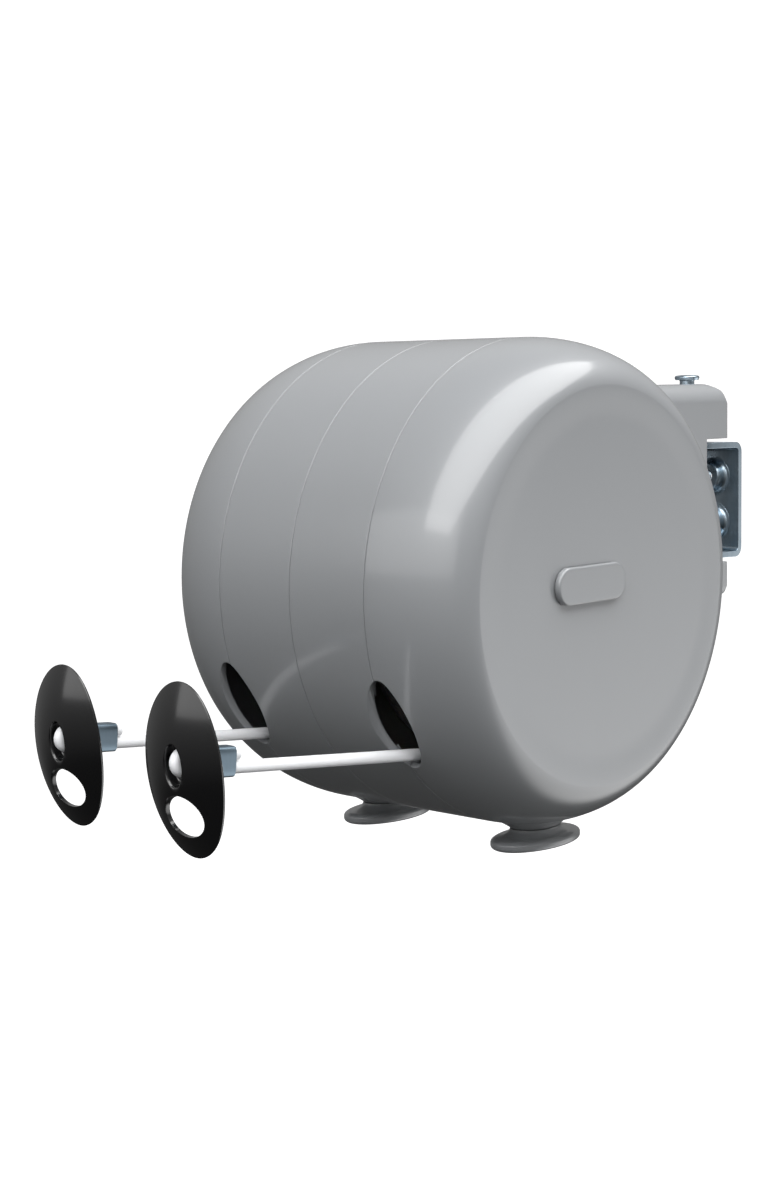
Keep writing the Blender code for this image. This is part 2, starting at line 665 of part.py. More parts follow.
def build_mainspring(name, place, axis):
    """Spiral of flat steel strip between the fixed arbor and the turning hub."""
    start, end = ARBOR_RADIUS + 0.0006, HUB_RADIUS - HUB_WALL - 0.0012
    low, high = SPRING_SPAN
    steps = SPRING_TURNS * 16
    bm = bmesh.new()
    path = []
    for i in range(steps + 1):
        share = i / steps
        radius = start + (end - start) * share**0.8
        angle = math.tau * SPRING_TURNS * share
        path.append(bm.verts.new((radius * math.cos(angle), radius * math.sin(angle), low)))
    edges = [bm.edges.new(pair) for pair in zip(path, path[1:])]
    made = bmesh.ops.extrude_edge_only(bm, edges=edges)["geom"]
    moved = [item for item in made if isinstance(item, bmesh.types.BMVert)]
    bmesh.ops.translate(bm, verts=moved, vec=(0, 0, high - low))
    bmesh.ops.recalc_face_normals(bm, faces=bm.faces)
    spring = add_object(f"mainspring_{name}", mesh_from(bm, name), place, SPRING_STEEL, axis)
    solid = spring.modifiers.new("Strip", "SOLIDIFY")
    solid.thickness = SPRING_STRIP
    solid.offset = 0


# Lines and handles -------------------------------------------------------------------------------


def line_frame(name):
    """On the line's axis below the drum's axis, with -Y out along the line and +Z square to it."""
    side, rise = SIDES[name], LINE_RISE[name]
    return shift(side * REEL_X, AXIS_Y, AXIS_Z) @ spin("X", -rise) @ shift(0, 0, -LINE_RADIUS)


def line_route(name):
    """Out from inside the slot, round the handle's bridge and back through the ferrule, in its frame."""
    out = HANDLE_OUT[name]
    bend = out + 0.0010
    half = LOOP_SPACING / 2
    points = [(0, -LINE_START, 0), (0, -(out - FERRULE_BEHIND), 0), (0, -bend, 0)]
    for i in range(1, 8):
        angle = math.pi * i / 8
        points.append((0, -(bend + half * math.sin(angle)), half - half * math.cos(angle)))
    front = out - FERRULE_BEHIND + FERRULE_LENGTH
    points += [(0, -bend, LOOP_SPACING), (0, -(bend - 0.005), LOOP_SPACING), (0, -front, TAIL_SPACING)]
    return points + [(0, -(out - TAIL_BEHIND), TAIL_SPACING)]


def handle_place(name):
    """The handle's middle, with local Z out of its domed front and local Y up."""
    facing_out = spin("X", LINE_RISE[name] + HANDLE_TILT + math.pi / 2)
    return line_frame(name) @ shift(0, -HANDLE_OUT[name], -HANDLE_DROP) @ facing_out


def build_line(name):
    place = line_frame(name)
    axis = empty(f"line_axis_{name}", place)
    curve = line_curve(f"line_form_{name}", line_route(name), LINE_DIAMETER / 2)
    tube = curve_to_mesh(f"line_form_{name}", curve, place)
    add_object(f"pull_line_{name}", tube.data.copy(), place, LINE_PVC, axis)
    bpy.data.objects.remove(tube)
    build_ferrule(name, place, axis)
    build_handle(name, place, axis)


def build_ferrule(name, place, axis):
    """Flattened oval sleeve crimped round the line and its tail."""
    middle = HANDLE_OUT[name] - FERRULE_BEHIND + FERRULE_LENGTH / 2
    lie_along = place @ shift(0, -middle, TAIL_SPACING / 2) @ spin("X", math.pi / 2)
    half, chamfer = FERRULE_LENGTH / 2, 0.0006
    end = (FERRULE_SIZE[0] - chamfer / 2, FERRULE_SIZE[1] - chamfer / 2)
    rings = [(-half, *end), (chamfer - half, *FERRULE_SIZE), (half - chamfer, *FERRULE_SIZE), (half, *end)]
    sleeve = oval_loft(f"ferrule_{name}", rings, lie_along, ZINC, axis, steps=20, power=3.2)
    hole = [(-0.01, 0.00235, 0.0045), (0.01, 0.00235, 0.0045)]
    cut(sleeve, oval_loft(f"ferrule_hole_{name}", hole, lie_along, steps=20, power=3.5))


def build_handle(name, place, axis):
    """Domed oval grip with a finger hole, and a recess where the line loops over a bridge."""
    width, length = HANDLE_SIZE
    front = dome(HANDLE_DOME, 1.0, (0.15, 0.42, 0.68, 0.88))
    back = dome(HANDLE_DOME - HANDLE_SHEET, 0.94, (0.90, 0.62, 0.20))
    rim = [(0.0002, 1.0), (-0.0008, 0.985), (-0.0009, 0.95)]
    rings = [(height, share * width, share * length) for height, share in front + rim + back]
    seat = handle_place(name)
    handle = oval_loft(f"pull_handle_{name}", rings, seat, DARK_PLASTIC, axis, steps=30)
    bow(handle)
    at_loop = seat @ shift(0, HANDLE_DROP + LOOP_SPACING / 2, 0)
    hub = [(-0.0046, 0.0052, 0.0080), (HANDLE_DOME - 0.0016, 0.0060, 0.0090)]
    join(handle, oval_loft(f"handle_hub_{name}", hub, at_loop, steps=20))
    recess = [(0.0010, RECESS[0] * 0.9, RECESS[1] * 0.9), (0.0036, *RECESS)]
    recess += [(0.0052, RECESS[0] + 0.0012, RECESS[1] + 0.0012), (0.0080, RECESS[0] + 0.0020, RECESS[1] + 0.0020)]
    hole_rings = [(-0.01, *FINGER_HOLE), (0.01, *FINGER_HOLE)]
    hole = oval_loft(f"finger_hole_{name}", hole_rings, seat @ shift(0, -FINGER_HOLE_DROP, 0), steps=24)
    passage = line_curve(f"line_passage_{name}", line_route(name)[1:13], LINE_DIAMETER / 2 + 0.00025)
    cut(handle, oval_loft(f"handle_recess_{name}", recess, at_loop, steps=20), hole)
    cut(handle, curve_to_mesh(f"line_passage_{name}", passage, place))


def dome(height, edge, shares):
    """(height, share of the rim) pairs over a shallow dome that ends level with the rim."""
    return [(height * (1 - share**2), share * edge) for share in shares]


def bow(handle):
    """Bends the handle's upper and lower ends back a little."""
    bm = bmesh.new()
    bm.from_mesh(handle.data)
    bmesh.ops.triangulate(bm, faces=bm.faces)
    for vert in bm.verts:
        vert.co.z -= HANDLE_BOW * (vert.co.y / HANDLE_SIZE[1]) ** 2
    bm.to_mesh(handle.data)
    bm.free()


def main():
    clear_scene()
    make_collections()
    build_bracket()
    build_hinge_pin()
    build_hinge_washer()
    swivel = empty("swivel_axis", shift(0, PIN_Y, 0))
    core = bore_solid("wall_core", WALL - 0.0005)
    for name, side in SIDES.items():
        build_end_cap(name, side, swivel, core)
        build_centre_shell(name, side, swivel, core)
        build_badge(name, side, swivel)
        build_cleat(name, side, swivel)
    build_divider(swivel)
    build_shell_screws(swivel)
    build_axle(swivel)
    for name, side in SIDES.items():
        build_reel(name, side, swivel)
        build_line(name)


main()
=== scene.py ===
import json
import math

import bmesh
import bpy
from mathutils import Matrix, Vector


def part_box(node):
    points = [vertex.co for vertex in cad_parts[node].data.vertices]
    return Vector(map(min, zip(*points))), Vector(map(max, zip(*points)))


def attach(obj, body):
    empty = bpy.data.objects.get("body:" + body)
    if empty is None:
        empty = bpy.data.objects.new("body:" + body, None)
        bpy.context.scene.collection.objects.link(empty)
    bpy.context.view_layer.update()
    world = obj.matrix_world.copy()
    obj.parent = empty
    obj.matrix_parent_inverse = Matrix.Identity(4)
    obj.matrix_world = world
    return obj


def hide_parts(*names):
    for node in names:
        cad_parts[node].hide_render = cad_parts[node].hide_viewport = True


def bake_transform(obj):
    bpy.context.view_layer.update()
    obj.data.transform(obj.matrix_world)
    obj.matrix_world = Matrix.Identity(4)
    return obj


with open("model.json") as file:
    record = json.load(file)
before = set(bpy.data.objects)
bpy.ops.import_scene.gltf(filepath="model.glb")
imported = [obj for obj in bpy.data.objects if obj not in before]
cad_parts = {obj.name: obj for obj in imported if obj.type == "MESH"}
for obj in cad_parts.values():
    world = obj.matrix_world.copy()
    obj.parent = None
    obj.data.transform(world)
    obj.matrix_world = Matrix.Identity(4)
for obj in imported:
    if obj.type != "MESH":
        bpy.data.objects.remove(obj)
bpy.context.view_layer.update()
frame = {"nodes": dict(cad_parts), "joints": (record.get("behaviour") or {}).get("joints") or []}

# Places and sizes from the frame
JOINTS = {joint["name"]: joint for joint in frame["joints"]}
SIDES = {"right": 1, "left": -1}
PIN = Vector(JOINTS["casing_swivel"]["pos_m"])
REEL = Vector(JOINTS["reel_right_spin"]["pos_m"])
CENTRE = Vector((0, REEL.y, REEL.z))
PULL = {name: Vector(JOINTS[f"line_{name}_pull"]["axis"]).normalized() for name in SIDES}
CAP_LOW, CAP_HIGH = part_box("end_cap_right")
SHELL_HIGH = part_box("centre_shell_right")[1]
BRACKET_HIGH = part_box("wall_bracket")[1]
PIN_LOW, PIN_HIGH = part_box("hinge_pin")
CLEAT_LOW, CLEAT_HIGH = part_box("line_cleat_right")
BADGE_LOW, BADGE_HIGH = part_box("end_badge_right")
RADIUS = (CAP_HIGH.y - CAP_LOW.y) / 2
HALF_LENGTH = CAP_HIGH.x

# Casing, from the drum's middle
GAP = 0.0003
WALL = 0.0025
SEAM = SHELL_HIGH.x + GAP / 2
SEAM_GAP = 0.00016
SEAM_CHAMFER = 0.0002
CAP_DROP = 0.0193
FACE_RECESS = 0.0006
ARM_HALF_WIDTH = 0.0176
ARM_TOP = CENTRE.z + 0.0711
ARM_BOTTOM = CENTRE.z - 0.0221
ARM_BACK = PIN.y - 0.0109
UPPER_LUG_BOTTOM = CENTRE.z + 0.0475
LOWER_LUG_TOP = CENTRE.z - 0.0064
ARM_ROUND = 0.0085
PIN_RADIUS = 0.0032
PIN_BORE = 0.0035
SLOT_ANGLE = math.radians(29.5)
SLOT_THROAT = (0.0071, 0.0186)
SLOT_MOUTH = (0.0112, 0.0212)
SLOT_BELL = (0.0858, 0.0044)
CLEAT_NECK = (0.0080, 0.0117)
CLEAT_NECK_TOP = -0.0918
CLEAT_STEM = 0.0045
CLEAT_FLANGE = 0.0063

# Bracket
PLATE = 0.0025
BRACKET_BEND = 0.0045
EAR_RADIUS = 0.0085
SCREW_LEVELS = {"lower": -0.0101, "upper": 0.0101}

# Line and handles
LINE = 0.0042
LINE_LEVEL = 0.0618
LOOP_SPACING = 0.0052
TAIL_SPACING = 0.0043
LINE_START = 0.0450
LOOP_REACH = 0.0010
HANDLE_OUT = {"right": 0.1684, "left": 0.1545}
FERRULE_LENGTH = 0.0112
FERRULE_BEHIND = 0.0191
TAIL_BEHIND = 0.0221
FERRULE_SIZE = (0.0034, 0.0050)
HANDLE_SIZE = (0.01765, 0.02835)
HANDLE_DOME = 0.0048
HANDLE_BOW = 0.0018
HANDLE_SHEET = 0.0026
HANDLE_TILT = math.radians(5.4)
HANDLE_DROP = 0.0004
FINGER_HOLE = (0.0084, 0.0067)
FINGER_HOLE_PLACE = (0.0008, -0.0139)
RECESS = (0.0037, 0.0067)

# Brightness of the lights and the room
OVERHEAD = 3.9
FRONT = 1.25
LOW_GLOW = 1.8
WORLD_STRENGTH = 0.58

ROUND = 192
materials = {}


# Mesh helpers ------------------------------------------------------------------------------------


def add(name, bm, finish=None, smooth=True, place=None):
    bmesh.ops.recalc_face_normals(bm, faces=bm.faces)
    mesh = bpy.data.meshes.new(name)
    bm.to_mesh(mesh)
    bm.free()
    if smooth:
        mesh.shade_smooth()
    obj = bpy.data.objects.new(name, mesh)
    bpy.context.scene.collection.objects.link(obj)
    if place:
        mesh.transform(place)
    if finish:
        mesh.materials.append(materials[finish])
    return obj


def arc(centre, size, start, end, steps):
    """(across, along) points of an ellipse's arc, with angles in degrees from the across direction."""
    points = []
    for i in range(steps + 1):
        angle = math.radians(start + (end - start) * i / steps)
        points.append((centre[0] + size[0] * math.cos(angle), centre[1] + size[1] * math.sin(angle)))
    return points


def lathe(name, profile, place, finish=None, closed=False, steps=ROUND):
    """(radius, height) points turned about the place's own Z."""
    bm = bmesh.new()
    rings = []
    for radius, height in profile:
        if radius < 1e-9:
            rings.append([bm.verts.new((0, 0, height))])
            continue
        turns = [math.tau * i / steps for i in range(steps)]
        rings.append([bm.verts.new((radius * math.cos(a), radius * math.sin(a), height)) for a in turns])
    pairs = list(zip(rings, rings[1:]))
    if closed:
        pairs.append((rings[-1], rings[0]))
    for upper, lower in pairs:
        for i in range(steps):
            j = (i + 1) % steps
            corners = [upper[i % len(upper)], lower[i % len(lower)]]
            corners += [lower[j % len(lower)], upper[j % len(upper)]]
            bm.faces.new(list(dict.fromkeys(corners)))
    return add(name, bm, finish, place=place)


def loft(name, rings, place, finish=None, steps=96, power=2.0):
    """Ovals of (height, half width, half length) joined into one closed solid along the place's Z."""
    bm = bmesh.new()
    loops = []
    for height, half_width, half_length in rings:
        loop = []
        for i in range(steps):
            angle = math.tau * i / steps
            across, along = math.cos(angle), math.sin(angle)
            x = half_width * math.copysign(abs(across) ** (2 / power), across)
            y = half_length * math.copysign(abs(along) ** (2 / power), along)
            loop.append(bm.verts.new((x, y, height)))
        loops.append(loop)
    for lower, upper in zip(loops, loops[1:]):
        for i in range(steps):
            j = (i + 1) % steps
            bm.faces.new((lower[i], lower[j], upper[j], upper[i]))
    bm.faces.new(loops[0])
    bm.faces.new(loops[-1])
    return add(name, bm, finish, place=place)


def extrude(name, outline, low, high, place, finish=None):
    """A flat outline of (x, y) points made solid from low to high along the place's Z."""
    bm = bmesh.new()
    bottom = [bm.verts.new((x, y, low)) for x, y in outline]
    top = [bm.verts.new((x, y, high)) for x, y in outline]
    for i in range(len(outline)):
        j = (i + 1) % len(outline)
        bm.faces.new((bottom[i], bottom[j], top[j], top[i]))
    bm.faces.new(bottom)
    bm.faces.new(top)
    return add(name, bm, finish, place=place)


def block(name, low, high):
    bm = bmesh.new()
    bmesh.ops.create_cube(bm, size=1)
    low, high = Vector(low), Vector(high)
    bmesh.ops.transform(bm, matrix=Matrix.Diagonal((*(high - low), 1)), verts=bm.verts)
    bmesh.ops.translate(bm, verts=bm.verts, vec=(low + high) / 2)
    return add(name, bm, smooth=False)


def boolean(target, operation, *others):
    for other in others:
        modifier = target.modifiers.new(other.name, "BOOLEAN")
        modifier.operation = operation
        modifier.object = other
        modifier.solver = "EXACT"
    bake(target)
    for other in others:
        bpy.data.objects.remove(other)
    return target


def bake(obj):
    bpy.context.view_layer.update()
    graph = bpy.context.evaluated_depsgraph_get()
    mesh = bpy.data.meshes.new_from_object(obj.evaluated_get(graph))
    obj.modifiers.clear()
    obj.data = mesh
    return obj


def finish_surface(obj, sharp=34):
    """Crisp edges stay crisp, and flat faces beside a cut stay flat in their shading."""
    obj.data.shade_smooth()
    obj.data.set_sharp_from_angle(angle=math.radians(sharp))
    weighted = obj.modifiers.new("Weighted normals", "WEIGHTED_NORMAL")
    weighted.keep_sharp = True
    weighted.weight = 60
    return obj


def round_edges(obj, width, segments=3, angle=40):
    bevel = obj.modifiers.new("Round", "BEVEL")
    bevel.width = width
    bevel.segments = segments
    bevel.limit_method = "ANGLE"
    bevel.angle_limit = math.radians(angle)
    bevel.harden_normals = False
    return obj


def tube(name, points, radius, finish, steps=20):
    """A round solid that follows the points, with its ends closed."""
    bm = bmesh.new()
    loops = []
    along = (points[1] - points[0]).normalized()
    across = along.orthogonal().normalized()
    for i, point in enumerate(points):
        before, after = points[max(i - 1, 0)], points[min(i + 1, len(points) - 1)]
        turned = (after - before).normalized()
        across = (across - turned * across.dot(turned)).normalized()
        up = turned.cross(across)
        loop = []
        for j in range(steps):
            angle = math.tau * j / steps
            loop.append(bm.verts.new(point + (across * math.cos(angle) + up * math.sin(angle)) * radius))
        loops.append(loop)
    for first, second in zip(loops, loops[1:]):
        for j in range(steps):
            k = (j + 1) % steps
            bm.faces.new((first[j], first[k], second[k], second[j]))
    bm.faces.new(loops[0])
    bm.faces.new(loops[-1])
    return add(name, bm, finish)


def shift(x, y, z):
    return Matrix.Translation((x, y, z))


def spin(axis, angle):
    return Matrix.Rotation(angle, 4, axis)


def drum_place(side=1):
    return Matrix.Translation(CENTRE) @ spin("Y", side * math.pi / 2)


# Materials ---------------------------------------------------------------------------------------


class Nodes:
    """Short names for building one material's node tree."""

    def __init__(self, name):
        self.material = bpy.data.materials.new(name)
        self.material.use_nodes = True
        self.tree = self.material.node_tree
        self.shader = self.tree.nodes["Principled BSDF"]
        self.place = self.new("ShaderNodeTexCoord").outputs["Object"]
        materials[name] = self.material

    def new(self, kind, **settings):
        node = self.tree.nodes.new(kind)
        for key, value in settings.items():
            setattr(node, key, value)
        return node

    def link(self, output, target):
        self.tree.links.new(output, target)

    def stretched(self, scale):
        mapping = self.new("ShaderNodeMapping")
        mapping.inputs["Scale"].default_value = scale
        self.link(self.place, mapping.inputs["Vector"])
        return mapping.outputs["Vector"]

    def noise(self, scale, detail=4.0, roughness=0.55, vector=None):
        node = self.new("ShaderNodeTexNoise")
        node.inputs["Scale"].default_value = scale
        node.inputs["Detail"].default_value = detail
        node.inputs["Roughness"].default_value = roughness
        self.link(vector or self.place, node.inputs["Vector"])
        return node.outputs["Fac"]

    def cells(self, scale, vector=None):
        node = self.new("ShaderNodeTexVoronoi")
        node.inputs["Scale"].default_value = scale
        self.link(vector or self.place, node.inputs["Vector"])
        return node.outputs["Color"]

    def ranged(self, value, low, high, start=0.3, end=0.7):
        node = self.new("ShaderNodeMapRange")
        node.inputs["From Min"].default_value = start
        node.inputs["From Max"].default_value = end
        node.inputs["To Min"].default_value = low
        node.inputs["To Max"].default_value = high
        self.link(value, node.inputs["Value"])
        return node.outputs["Result"]

    def blend(self, factor, first, second):
        node = self.new("ShaderNodeMix", data_type="RGBA")
        self.link(factor, node.inputs["Factor"])
        for value, socket in ((first, node.inputs[6]), (second, node.inputs[7])):
            if isinstance(value, tuple):
                socket.default_value = (*value, 1)
            else:
                self.link(value, socket)
        return node.outputs[2]

    def bump(self, height, strength, distance, normal=None):
        node = self.new("ShaderNodeBump")
        node.inputs["Strength"].default_value = strength
        node.inputs["Distance"].default_value = distance
        self.link(height, node.inputs["Height"])
        if normal:
            self.link(normal, node.inputs["Normal"])
        return node.outputs["Normal"]

    def soft_edges(self, radius):
        node = self.new("ShaderNodeBevel", samples=6)
        node.inputs["Radius"].default_value = radius
        return node.outputs["Normal"]

    def set(self, **values):
        for key, value in values.items():
            socket = self.shader.inputs[key.replace("_", " ").title().replace("Ior", "IOR")]
            if isinstance(value, bpy.types.NodeSocket):
                self.link(value, socket)
            elif isinstance(value, tuple):
                socket.default_value = (*value, 1)
            else:
                socket.default_value = value


def moulded_plastic(name, colour, roughness, edge, coat):
    """Gloss moulding: slow waviness, faint flow marks and a fine moulded grain."""
    n = Nodes(name)
    flow = n.noise(9, 3, vector=n.stretched((1, 1, 0.25)))
    grain = n.noise(2600, 2)
    lighter = tuple(1.03 * channel for channel in colour)
    darker = tuple(0.97 * channel for channel in colour)
    n.set(base_color=n.blend(n.ranged(flow, 0, 1), darker, lighter))
    n.set(roughness=n.ranged(grain, roughness - 0.02, roughness + 0.02))
    wavy = n.bump(n.noise(26, 2), 0.03, 0.0020, n.soft_edges(edge))
    n.set(normal=n.bump(grain, 0.03, 0.00004, wavy), coat_weight=coat, coat_roughness=0.12)


def plated_metal(name, colour, dark, roughness, streak):
    """Plated or blued sheet: soft cloudiness, fine crystals and rolling lines along one direction."""
    n = Nodes(name)
    cloud = n.noise(70, 5, 0.6)
    crystals = n.cells(900)
    lines = n.noise(900, 2, vector=n.stretched(streak))
    tone = n.blend(n.ranged(cloud, 0, 1), dark, colour)
    n.set(base_color=n.blend(n.ranged(lines, 0, 0.35), tone, colour), metallic=1.0)
    n.set(roughness=n.ranged(cloud, roughness - 0.07, roughness + 0.10))
    surface = n.bump(crystals, 0.12, 0.00003, n.soft_edges(0.0003))
    n.set(normal=n.bump(lines, 0.10, 0.00004, surface))


def make_nylon():
    """Grey moulding, a little cloudy and slightly translucent."""
    n = Nodes("nylon")
    cloud = n.noise(35, 4)
    n.set(base_color=n.blend(n.ranged(cloud, 0, 1), (0.20, 0.20, 0.19), (0.28, 0.28, 0.27)))
    n.set(roughness=n.ranged(cloud, 0.38, 0.52), subsurface_weight=0.08, subsurface_scale=0.003)
    n.set(normal=n.bump(n.noise(1800, 3), 0.08, 0.00008, n.soft_edges(0.0003)))


def make_line_plastic():
    """Smooth white sheath with faint ribs from the fibre core and a little grime."""
    n = Nodes("line")
    grime = n.ranged(n.noise(220, 5, 0.65), 0, 1, 0.55, 0.90)
    n.set(base_color=n.blend(grime, (0.87, 0.88, 0.90), (0.78, 0.79, 0.80)))
    n.set(roughness=n.ranged(n.noise(500, 3), 0.32, 0.46))
    ribs = n.noise(1500, 2, vector=n.stretched((1, 0.12, 1)))
    n.set(normal=n.bump(ribs, 0.10, 0.00006))


def make_materials():
    moulded_plastic("casing", (0.245, 0.254, 0.264), 0.34, edge=0.0006, coat=0.8)
    moulded_plastic("black", (0.0030, 0.0030, 0.0033), 0.20, edge=0.0003, coat=0.8)
    plated_metal("zinc", (0.44, 0.52, 0.58), (0.27, 0.34, 0.40), 0.30, (1, 1, 0.05))
    plated_metal("sleeve", (0.20, 0.26, 0.31), (0.14, 0.19, 0.23), 0.38, (1, 1, 0.05))
    plated_metal("spring_steel", (0.20, 0.22, 0.27), (0.10, 0.11, 0.15), 0.32, (0.05, 1, 1))
    make_nylon()
    make_line_plastic()


# Casing ------------------------------------------------------------------------------------------


def cap_profile():
    """Outer dome from the sunk face to the seam, then the lip, the inside and the axle's socket."""
    top, flat, inner = HALF_LENGTH, RADIUS - CAP_DROP, RADIUS - WALL
    face = top - FACE_RECESS
    start, end = flat - 0.0110, flat + 0.0013
    profile = [(0, face), (0.030, face), (0.050, face)]
    for i in range(11):
        share = i / 10
        ease = share * share * (3 - 2 * share)
        profile.append((start + (end - start) * share, face + (FACE_RECESS - 0.00009) * ease))
    profile += arc((flat, SEAM), (CAP_DROP, top - SEAM), 85, 0, 36)[:-1]
    seam = SEAM + SEAM_GAP / 2
    profile += [(RADIUS, seam + SEAM_CHAMFER), (RADIUS - SEAM_CHAMFER, seam), (inner - GAP, seam)]
    profile += [(inner - GAP, seam - 0.0040), (inner - 0.0024, seam - 0.0040)]
    profile.append((inner - 0.0024, SEAM + 0.0030))
    inner_top = top - FACE_RECESS - WALL
    profile += arc((flat, SEAM), (CAP_DROP - WALL, inner_top - SEAM), 12, 90, 10)
    socket = inner_top - 0.0040
    profile += [(0.0090, inner_top), (0.0090, socket), (0.0063, socket)]
    return profile + [(0.0063, inner_top), (0, inner_top)]


def drum_inside(name):
    cover = WALL - 0.0005
    flat = RADIUS - CAP_DROP
    profile = [(0, HALF_LENGTH - cover)]
    profile += arc((flat, SEAM), (CAP_DROP - cover, HALF_LENGTH - cover - SEAM), 90, 0, 12)
    profile += [(radius, -height) for radius, height in reversed(profile)]
    return lathe(name, profile, drum_place(), steps=128)


def slot_cutter(name, side):
    """The line's bell-mouthed slot, square to the drum's surface."""
    place = shift(side * REEL.x, CENTRE.y, CENTRE.z) @ spin("X", math.pi / 2 + SLOT_ANGLE)
    wide = (SLOT_THROAT[0] + 0.0020, SLOT_THROAT[1] + 0.0043)
    start, depth = SLOT_BELL
    rings = [(0.0720, *wide), (start - 0.0006, *wide), (start, *SLOT_THROAT)]
    for i in range(1, 13):
        angle = math.pi / 2 * i / 12
        flare = 1 - math.cos(angle)
        half_width = SLOT_THROAT[0] + (SLOT_MOUTH[0] - SLOT_THROAT[0]) * flare
        half_length = SLOT_THROAT[1] + (SLOT_MOUTH[1] - SLOT_THROAT[1]) * flare
        rings.append((start + depth * math.sin(angle), half_width, half_length))
    rings.append((0.105, *SLOT_MOUTH))
    return loft(name, rings, place)


def cleat_boss(name, side, low, high):
    rings = []
    for i in range(15):
        rise = 0.0082 * i / 14
        half_width = CLEAT_NECK[0] + 0.8 * rise + 50 * rise**2
        half_length = CLEAT_NECK[1] + 1.5 * rise + 100 * rise**2
        rings.append((CLEAT_NECK_TOP + rise, half_width, half_length))
    boss = loft(name, rings, shift(side * REEL.x, CENTRE.y, CENTRE.z))
    boolean(boss, "INTERSECT", block(name + "_slab", (low, -0.4, -0.2), (high, 0.1, 0.2)))
    return boolean(boss, "DIFFERENCE", drum_inside(name + "_inside"))


def bore_profile(radius, half_length):
    return [(0, half_length), (radius, half_length), (radius, -half_length), (0, -half_length)]


def stem_hole(name, side):
    place = shift(side * REEL.x, CENTRE.y, CENTRE.z - 0.092)
    return lathe(name, bore_profile(CLEAT_STEM + GAP, 0.012), place, steps=48)


def make_end_cap(name, side):
    cap = lathe(f"cap_{name}", cap_profile(), drum_place(side), "casing")
    low, high = sorted((side * (SEAM + SEAM_GAP / 2 + SEAM_CHAMFER), side * 0.2))
    boolean(cap, "UNION", cleat_boss(f"cap_boss_{name}", side, low, high))
    boolean(cap, "DIFFERENCE", slot_cutter(f"cap_slot_{name}", side), stem_hole(f"cap_stem_{name}", side))
    finish_surface(cap)
    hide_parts(f"end_cap_{name}")
    return cap


def arm_half(name, side):
    start = (-ARM_HALF_WIDTH, CENTRE.y + 0.035, ARM_BOTTOM)
    arm = block(name, start, (ARM_HALF_WIDTH, SHELL_HIGH.y, ARM_TOP))
    bm = bmesh.new()
    bm.from_mesh(arm.data)
    weight = bm.edges.layers.float.new("bevel_weight_edge")
    for edge in bm.edges:
        upright = abs((edge.verts[0].co - edge.verts[1].co).normalized().z) > 0.9
        low = max(vert.co.z for vert in edge.verts) < CENTRE.z
        edge[weight] = 0.15 if upright else 0.62 if low else 1.0
    bm.to_mesh(arm.data)
    bm.free()
    round_edges(arm, ARM_ROUND, 10)
    arm.modifiers["Round"].limit_method = "WEIGHT"
    start, end = sorted((side * SEAM_GAP / 2, side * 0.1))
    boolean(arm, "INTERSECT", block(name + "_slab", (start, -0.4, -0.2), (end, 0.1, 0.2)))
    return boolean(arm, "DIFFERENCE", drum_inside(name + "_inside"))


def make_centre_shell(name, side):
    inner, low, high = RADIUS - WALL, SEAM_GAP / 2, SEAM - SEAM_GAP / 2
    profile = [(inner, high), (RADIUS - SEAM_CHAMFER, high), (RADIUS, high - SEAM_CHAMFER)]
    profile += [(RADIUS, low + SEAM_CHAMFER), (RADIUS - SEAM_CHAMFER, low), (inner, low)]
    shell = lathe(f"shell_{name}", profile, drum_place(side), "casing", closed=True)
    start, end = sorted((side * low, side * (high - SEAM_CHAMFER)))
    boolean(shell, "UNION", arm_half(f"arm_{name}", side), cleat_boss(f"shell_boss_{name}", side, start, end))
    notch = block(f"notch_{name}", (-0.03, ARM_BACK, LOWER_LUG_TOP), (0.03, 0.02, UPPER_LUG_BOTTOM))
    bore = lathe(f"bore_{name}", bore_profile(PIN_BORE, 0.1), shift(0, PIN.y, 0), steps=48)
    hollow_low = (WALL - ARM_HALF_WIDTH, CENTRE.y + 0.030, ARM_BOTTOM + WALL)
    hollow_high = (ARM_HALF_WIDTH - WALL, ARM_BACK - WALL, ARM_TOP - WALL - 0.002)
    cavity = block(f"cavity_{name}", hollow_low, hollow_high)
    slot = slot_cutter(f"shell_slot_{name}", side)
    boolean(shell, "DIFFERENCE", notch, bore, cavity, slot, stem_hole(f"shell_stem_{name}", side))
    finish_surface(shell)
    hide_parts(f"centre_shell_{name}")
    return shell


